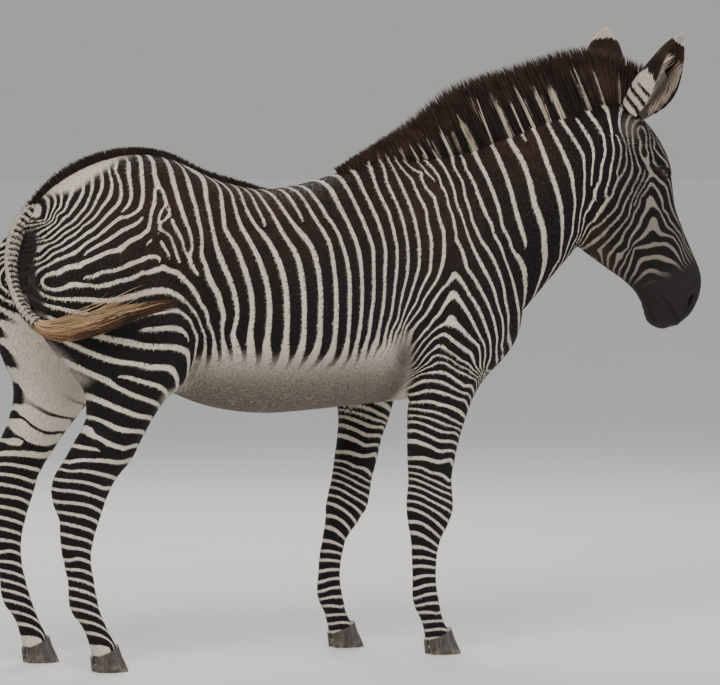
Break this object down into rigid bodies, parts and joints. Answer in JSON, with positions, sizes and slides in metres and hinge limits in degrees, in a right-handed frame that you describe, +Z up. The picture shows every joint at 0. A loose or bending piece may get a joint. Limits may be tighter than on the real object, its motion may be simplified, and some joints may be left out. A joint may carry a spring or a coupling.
{
  "type": "zebra figure",
  "caption": "Life-size museum model of a young Grevy's zebra standing square and looking ahead, with an upright mane and its tail swept round one thigh.",
  "frame": {"origin": "on the floor under the middle of the whole animal's box", "axes": "+Z up, +X towards the head, +Y towards the animal's left side"},
  "size_m": [2.0327, 0.5706, 1.6158],
  "materials": {
    "coat": "short flat fur, striped black and cream",
    "mane_hair": "long stiff hair, dark brown tips over black and cream bands",
    "tail_hair": "long loose hair, tan to dark brown",
    "hoof_horn": "dark horn, satin",
    "eye_glass": "wet, very dark brown"
  },
  "bodies": {
    "root": {"head": "coat", "neck": "coat", "trunk": "coat", "hindquarters": "coat", "fore_leg_right": "coat", "fore_leg_left": "coat", "hind_leg_right": "coat", "hind_leg_left": "coat", "ear_right": "coat", "ear_left": "coat", "tail_dock": "coat", "mane": "mane_hair", "back_ridge": "mane_hair", "tail_tuft": "tail_hair", "hoof_fore_right": "hoof_horn", "hoof_fore_left": "hoof_horn", "hoof_hind_right": "hoof_horn", "hoof_hind_left": "hoof_horn", "eye_right": "eye_glass", "eye_left": "eye_glass"}
  },
  "joints": []
}
